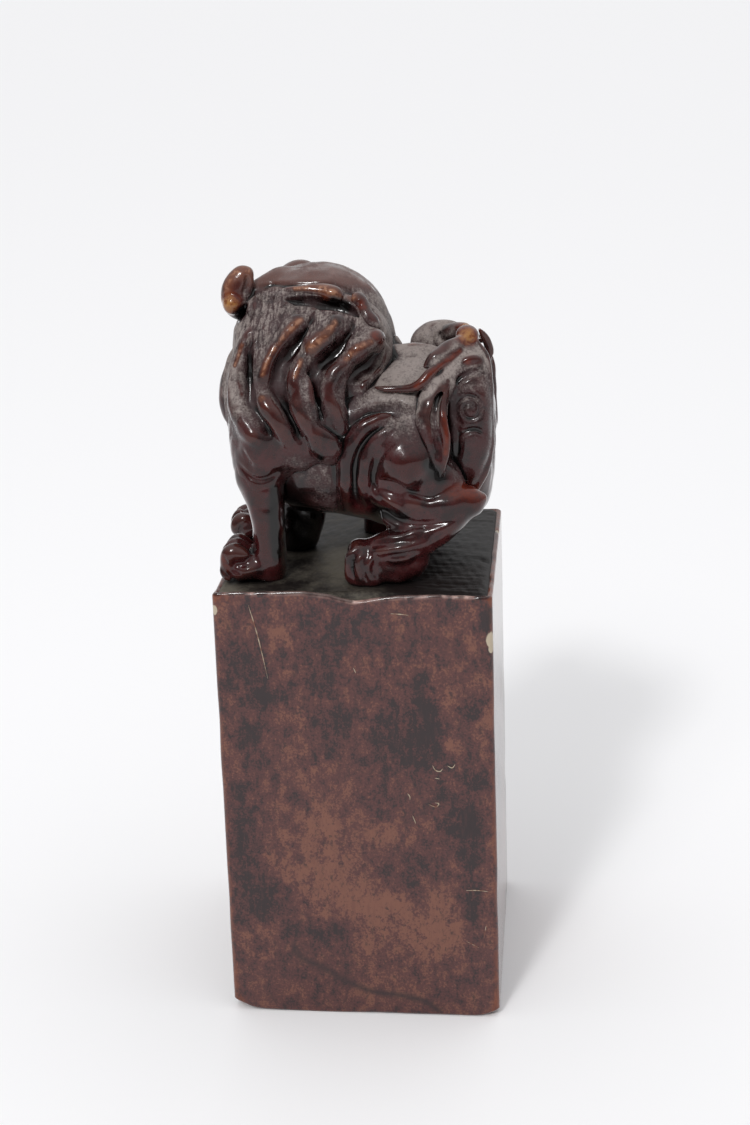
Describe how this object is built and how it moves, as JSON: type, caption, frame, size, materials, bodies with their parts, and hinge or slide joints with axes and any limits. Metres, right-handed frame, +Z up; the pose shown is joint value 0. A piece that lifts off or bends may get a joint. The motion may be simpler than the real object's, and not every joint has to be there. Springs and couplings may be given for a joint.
{
  "type": "seal stamp",
  "caption": "Tall square dyed soapstone seal with a blank printing face and a seated guardian lion carved on top, its head turned to one side.",
  "frame": {"origin": "middle of the square printing face, on the surface that the seal stands on", "axes": "+Z up, the longest way; the lion's body points towards -X and its left flank towards -Y"},
  "size_m": [0.036, 0.036, 0.0988],
  "materials": {
    "polished_block": "waxed and polished, mottled red brown dye over pale stone",
    "rough_ground": "tooled, dull and dusty",
    "carved_lion": "dark red brown dye, glossy wax on the ridges, dust in the hollows",
    "amber_edges": "dye worn thin to amber, glossy"
  },
  "bodies": {
    "root": {"beard": "carved_lion", "carved_ground": "rough_ground", "crown_curl_large": "amber_edges", "crown_curl_small": "amber_edges", "left_brow": "carved_lion", "left_ear": "amber_edges", "left_eye": "carved_lion", "left_foreleg": "carved_lion", "left_forepaw": "carved_lion", "left_hind_leg": "carved_lion", "left_hind_paw": "carved_lion", "left_thigh": "carved_lion", "lower_jaw": "carved_lion", "mane": "carved_lion", "mane_lock_back": "carved_lion", "mane_lock_chest": "carved_lion", "mane_lock_crown": "carved_lion", "mane_lock_ear": "carved_lion", "mane_lock_ear_tip": "carved_lion", "mane_lock_far_back": "carved_lion", "mane_lock_far_front": "carved_lion", "mane_lock_far_middle": "carved_lion", "mane_lock_front": "carved_lion", "mane_lock_nape": "carved_lion", "mane_lock_shoulder": "carved_lion", "mane_lock_throat": "carved_lion", "muzzle": "carved_lion", "nose": "carved_lion", "right_brow": "carved_lion", "right_ear": "carved_lion", "right_eye": "carved_lion", "right_foreleg": "carved_lion", "right_forepaw": "carved_lion", "right_hind_leg": "carved_lion", "right_hind_paw": "carved_lion", "right_thigh": "carved_lion", "seal_block": "polished_block", "skull": "carved_lion", "tail_curl_left": "carved_lion", "tail_curl_right": "carved_lion", "tail_fan": "carved_lion", "tail_plume_left": "carved_lion", "tail_plume_right": "carved_lion", "tail_scroll": "carved_lion", "tail_tip": "amber_edges", "thigh_flame_left": "carved_lion", "thigh_flame_right": "carved_lion", "trunk": "carved_lion"}
  },
  "joints": []
}
